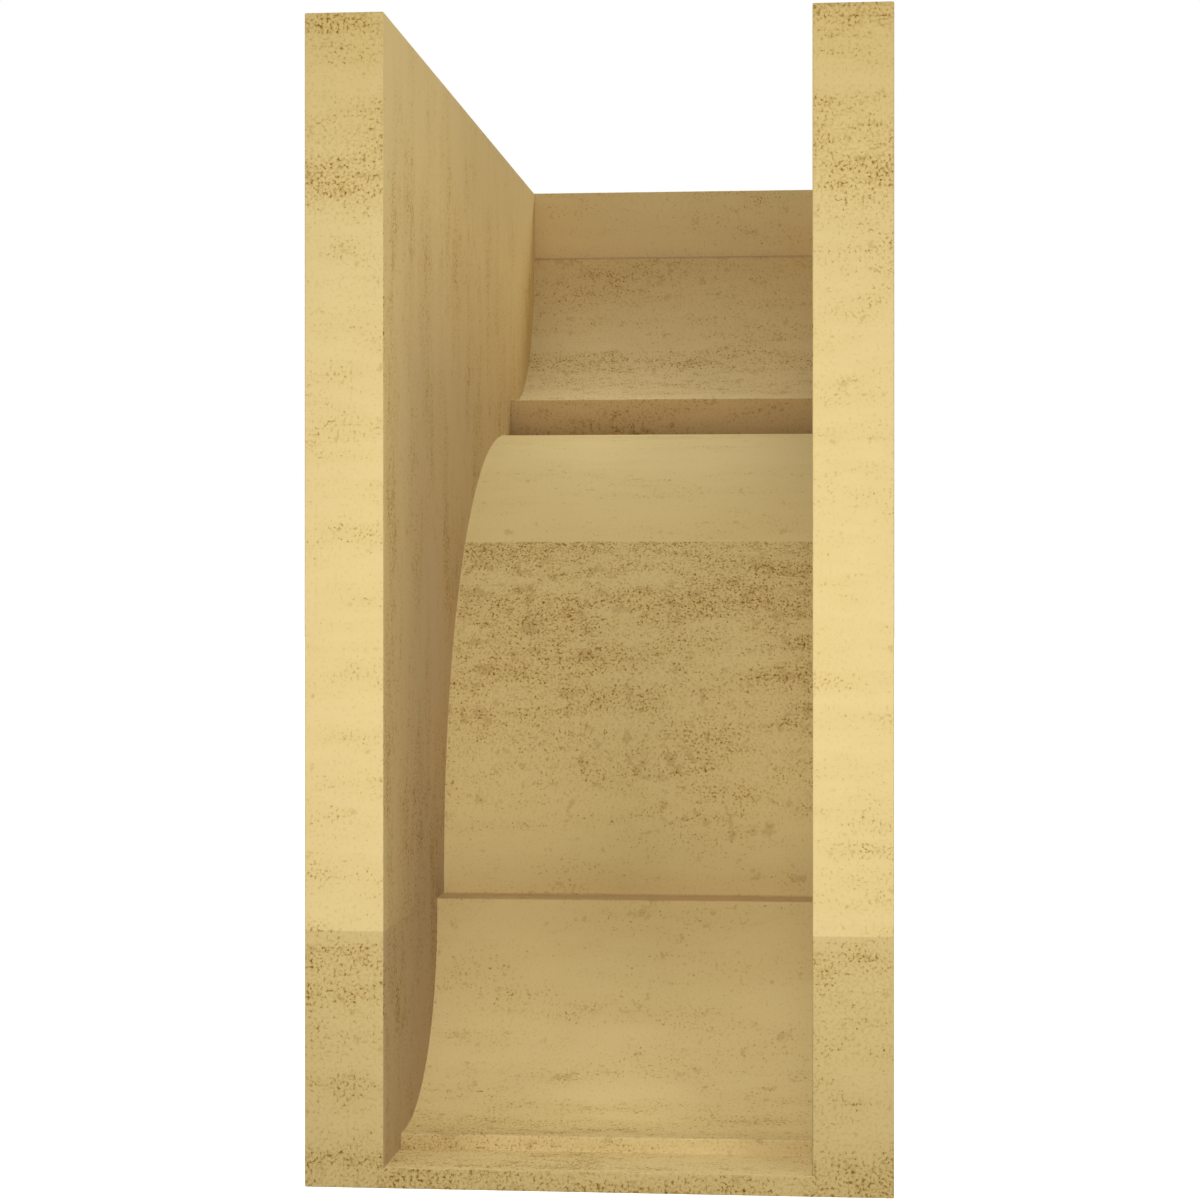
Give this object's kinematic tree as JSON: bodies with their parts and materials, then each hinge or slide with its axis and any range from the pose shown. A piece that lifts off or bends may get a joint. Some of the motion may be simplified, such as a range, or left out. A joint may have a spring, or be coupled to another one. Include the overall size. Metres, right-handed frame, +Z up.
{
  "type": "corbel",
  "caption": "Hollow-backed moulded corbel: thick side cheeks and a thin front of fascia, ovolos and cove, fixed by its back under a shelf, beam or soffit.",
  "frame": {"origin": "on the back plane, at mid-width, at mid-thickness of the bottom wall's back edge", "axes": "+Y out of the back towards the wall, so the moulding projects towards -Y; +Z up; +X across the width"},
  "size_m": [0.1524, 0.3048, 0.3048],
  "materials": {
    "tan_primer": "matte tan factory primer on moulded foam, with dark olive-brown flecks in streaky bands"
  },
  "bodies": {
    "root": {"corbel": "tan_primer"}
  },
  "joints": []
}
